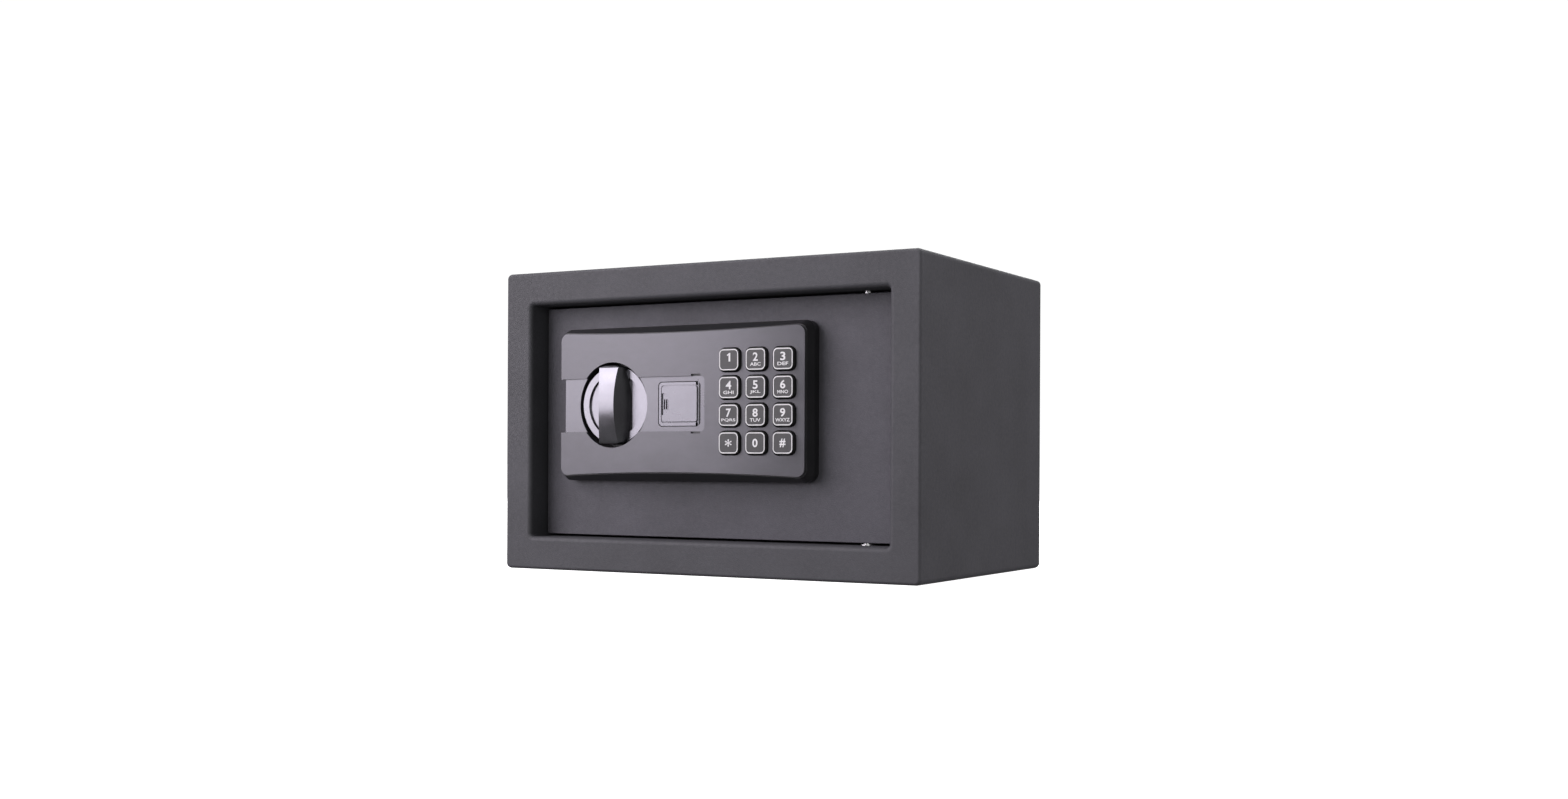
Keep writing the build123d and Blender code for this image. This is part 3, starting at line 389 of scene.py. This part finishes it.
def outline_ring(shape, centre):
    """Adds a key's thin raised outline to a bmesh, facing the front."""
    x, y, z = centre
    outer = rounded_loop(OUTLINE_W, OUTLINE_H, OUTLINE_CORNER)
    inner_w = OUTLINE_W - 2 * OUTLINE_LINE
    inner_h = OUTLINE_H - 2 * OUTLINE_LINE
    inner = rounded_loop(inner_w, inner_h, OUTLINE_CORNER - OUTLINE_LINE)
    front = y - INK_RISE
    back = y + INK_RISE
    rings = []
    for loop, depth in ((outer, back), (outer, front), (inner, front), (inner, back)):
        rings.append([shape.verts.new((x + px, depth, z + pz)) for px, pz in loop])
    count = len(outer)
    for near, far in zip(rings, rings[1:] + rings[:1]):
        for index in range(count):
            after = (index + 1) % count
            shape.faces.new((near[index], near[after], far[after], far[index]))


def key_legend(name):
    """The printed outline, digit and letters of one key."""
    low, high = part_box(f"key_{name}")
    x = (low.x + high.x) / 2
    z = (low.z + high.z) / 2
    y = low.y
    digit, letters, width = KEY_TEXT[name]
    shape = bmesh.new()
    outline_ring(shape, (x, y, z))
    rise = DIGIT_LIFT if name.isdigit() and name != "0" else 0.0
    if digit == "1":
        figure = digit_one(DIGIT_H)
    elif digit == "*":
        figure = text_mesh(digit, STAR_WEIGHT, width * MM, STAR_H)
    else:
        figure = text_mesh(digit, DIGIT_WEIGHT, width * MM, DIGIT_H)
    shape.from_mesh(upright(figure, x, z + rise, y))
    if letters:
        line = text_mesh(letters, LETTER_WEIGHT, LETTER_W * len(letters), LETTER_H)
        shape.from_mesh(upright(line, x, z - LETTER_DROP, y))
    bmesh.ops.remove_doubles(shape, verts=shape.verts, dist=WELD)
    bmesh.ops.recalc_face_normals(shape, faces=shape.faces)
    mesh = bpy.data.meshes.new(f"legend_{name}")
    shape.to_mesh(mesh)
    shape.free()
    piece(f"legend_{name}", mesh, f"key_{name}_body", WHITE_INK)


def circle(x, radius, steps=24):
    """Points round a circle centred on the x axis."""
    angles = [2 * math.pi * step / steps for step in range(steps)]
    return [(x + radius * math.cos(a), radius * math.sin(a)) for a in angles]


def felt_mat():
    """The felt mat: a sheet with rounded corners and two punched holes."""
    low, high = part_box("floor_mat")
    width = high.x - low.x
    length = high.y - low.y
    middle = (low + high) / 2
    thick = high.z - low.z
    outer = rounded_loop(width, length, MAT_CORNER, 4)
    border = [(x + middle.x, y + middle.y) for x, y in outer]
    holes = [circle(side * MAT_HOLE_X, MAT_HOLE_R) for side in (-1, 1)]
    shape = bmesh.new()
    edges = []
    for loop in [border] + holes:
        verts = [shape.verts.new((x, y, low.z)) for x, y in loop]
        edges += [shape.edges.new((a, b)) for a, b in zip(verts, verts[1:] + verts[:1])]
    bmesh.ops.triangle_fill(shape, edges=edges, use_beauty=True)
    made = bmesh.ops.extrude_face_region(shape, geom=shape.faces[:])
    lifted = [item for item in made["geom"] if isinstance(item, bmesh.types.BMVert)]
    bmesh.ops.translate(shape, verts=lifted, vec=(0, 0, thick))
    bmesh.ops.recalc_face_normals(shape, faces=shape.faces)
    mesh = bpy.data.meshes.new("felt_mat")
    shape.to_mesh(mesh)
    shape.free()
    mat = piece("felt_mat", mesh, "cabinet", MATERIALS["felt"])
    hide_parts("floor_mat")


# Stage


def camera():
    """The camera, with its height in the picture set by a small shift."""
    data = bpy.data.cameras.new("camera")
    data.lens = CAMERA_LENS
    data.sensor_width = 36
    data.shift_y = CAMERA_SHIFT
    data.clip_start = 0.01
    item = bpy.data.objects.new("camera", data)
    bpy.context.scene.collection.objects.link(item)
    yaw = math.radians(CAMERA_YAW)
    roll = math.radians(CAMERA_ROLL)
    level = Vector((math.cos(yaw), math.sin(yaw), 0))
    up = Vector((0, 0, 1))
    ahead = Vector((-math.sin(yaw), math.cos(yaw), 0))
    right = math.cos(roll) * level + math.sin(roll) * up
    top = right.cross(ahead)
    turned = Matrix((right, top, -ahead)).transposed().to_4x4()
    item.matrix_world = Matrix.Translation(CAMERA_AT) @ turned
    bpy.context.scene.camera = item


def area_light(name, at, target, size, power, tint=(1.0, 1.0, 1.0)):
    """A soft rectangular light that faces a target."""
    data = bpy.data.lights.new(name, "AREA")
    data.shape = "RECTANGLE"
    data.size, data.size_y = size
    data.energy = power
    data.color = tint
    item = bpy.data.objects.new(name, data)
    bpy.context.scene.collection.objects.link(item)
    item.location = at
    item.rotation_euler = (Vector(target) - Vector(at)).to_track_quat("-Z", "Y").to_euler()


def studio_floor():
    """The plain white floor."""
    shape = bmesh.new()
    bmesh.ops.create_grid(shape, x_segments=4, y_segments=4, size=30)
    mesh = bpy.data.meshes.new("floor")
    shape.to_mesh(mesh)
    shape.free()
    floor = bpy.data.objects.new("floor", mesh)
    bpy.context.scene.collection.objects.link(floor)
    floor.location.z = -0.0002
    shader = Shader("studio_floor")
    shader.colour(shader.noise(3, 2.0), grey(0.84), grey(0.86))
    shader.set(Roughness=0.8, Emission_Color=(1, 1, 1, 1), Emission_Strength=1.0)
    floor.data.materials.append(shader.material)
    floor.visible_glossy = False
    floor.visible_diffuse = False
    floor.visible_shadow = False


def surroundings():
    """A white backdrop that is dim in reflections, so that dark parts stay dark."""
    world = bpy.data.worlds.new("studio")
    bpy.context.scene.world = world
    world.use_nodes = True
    tree = world.node_tree
    path = tree.nodes.new("ShaderNodeLightPath")
    level = tree.nodes.new("ShaderNodeMapRange")
    level.inputs["To Min"].default_value = AMBIENT
    level.inputs["To Max"].default_value = 1.05
    tree.links.new(path.outputs["Is Camera Ray"], level.inputs["Value"])
    tree.links.new(level.outputs["Result"], tree.nodes["Background"].inputs["Strength"])
    tree.nodes["Background"].inputs["Color"].default_value = (1, 1, 1, 1)
    bpy.context.scene.view_settings.view_transform = "Standard"


def lights():
    """A long low softbox at the front left, and soft lights all round."""
    face = (0, -0.09, 0.14)
    aim = (0, -0.05, 0.1)
    area_light("key_light", (-0.93, -1.15, 0.32), face, (1.35, 0.55), 13, SOFTBOX_TINT)
    area_light("fill_light", (-1.15, -1.25, 1.3), aim, (1.3, 1.3), 38, SOFTBOX_TINT)
    area_light("side_light", (1.7, 0.45, 0.5), aim, (1.0, 1.0), 13, SOFTBOX_TINT)
    area_light("right_light", (0.95, -1.8, 0.5), aim, (1.4, 0.9), 10)
    area_light("top_light", (0.1, 0.5, 1.9), aim, (1.5, 1.5), 40)
    area_light("back_light", (-0.8, 1.7, 0.7), aim, (1.2, 1.2), 30)


camera()
dress_cad_nodes()
felt_mat()
for key_name in KEY_TEXT:
    key_legend(key_name)
studio_floor()
surroundings()
lights()
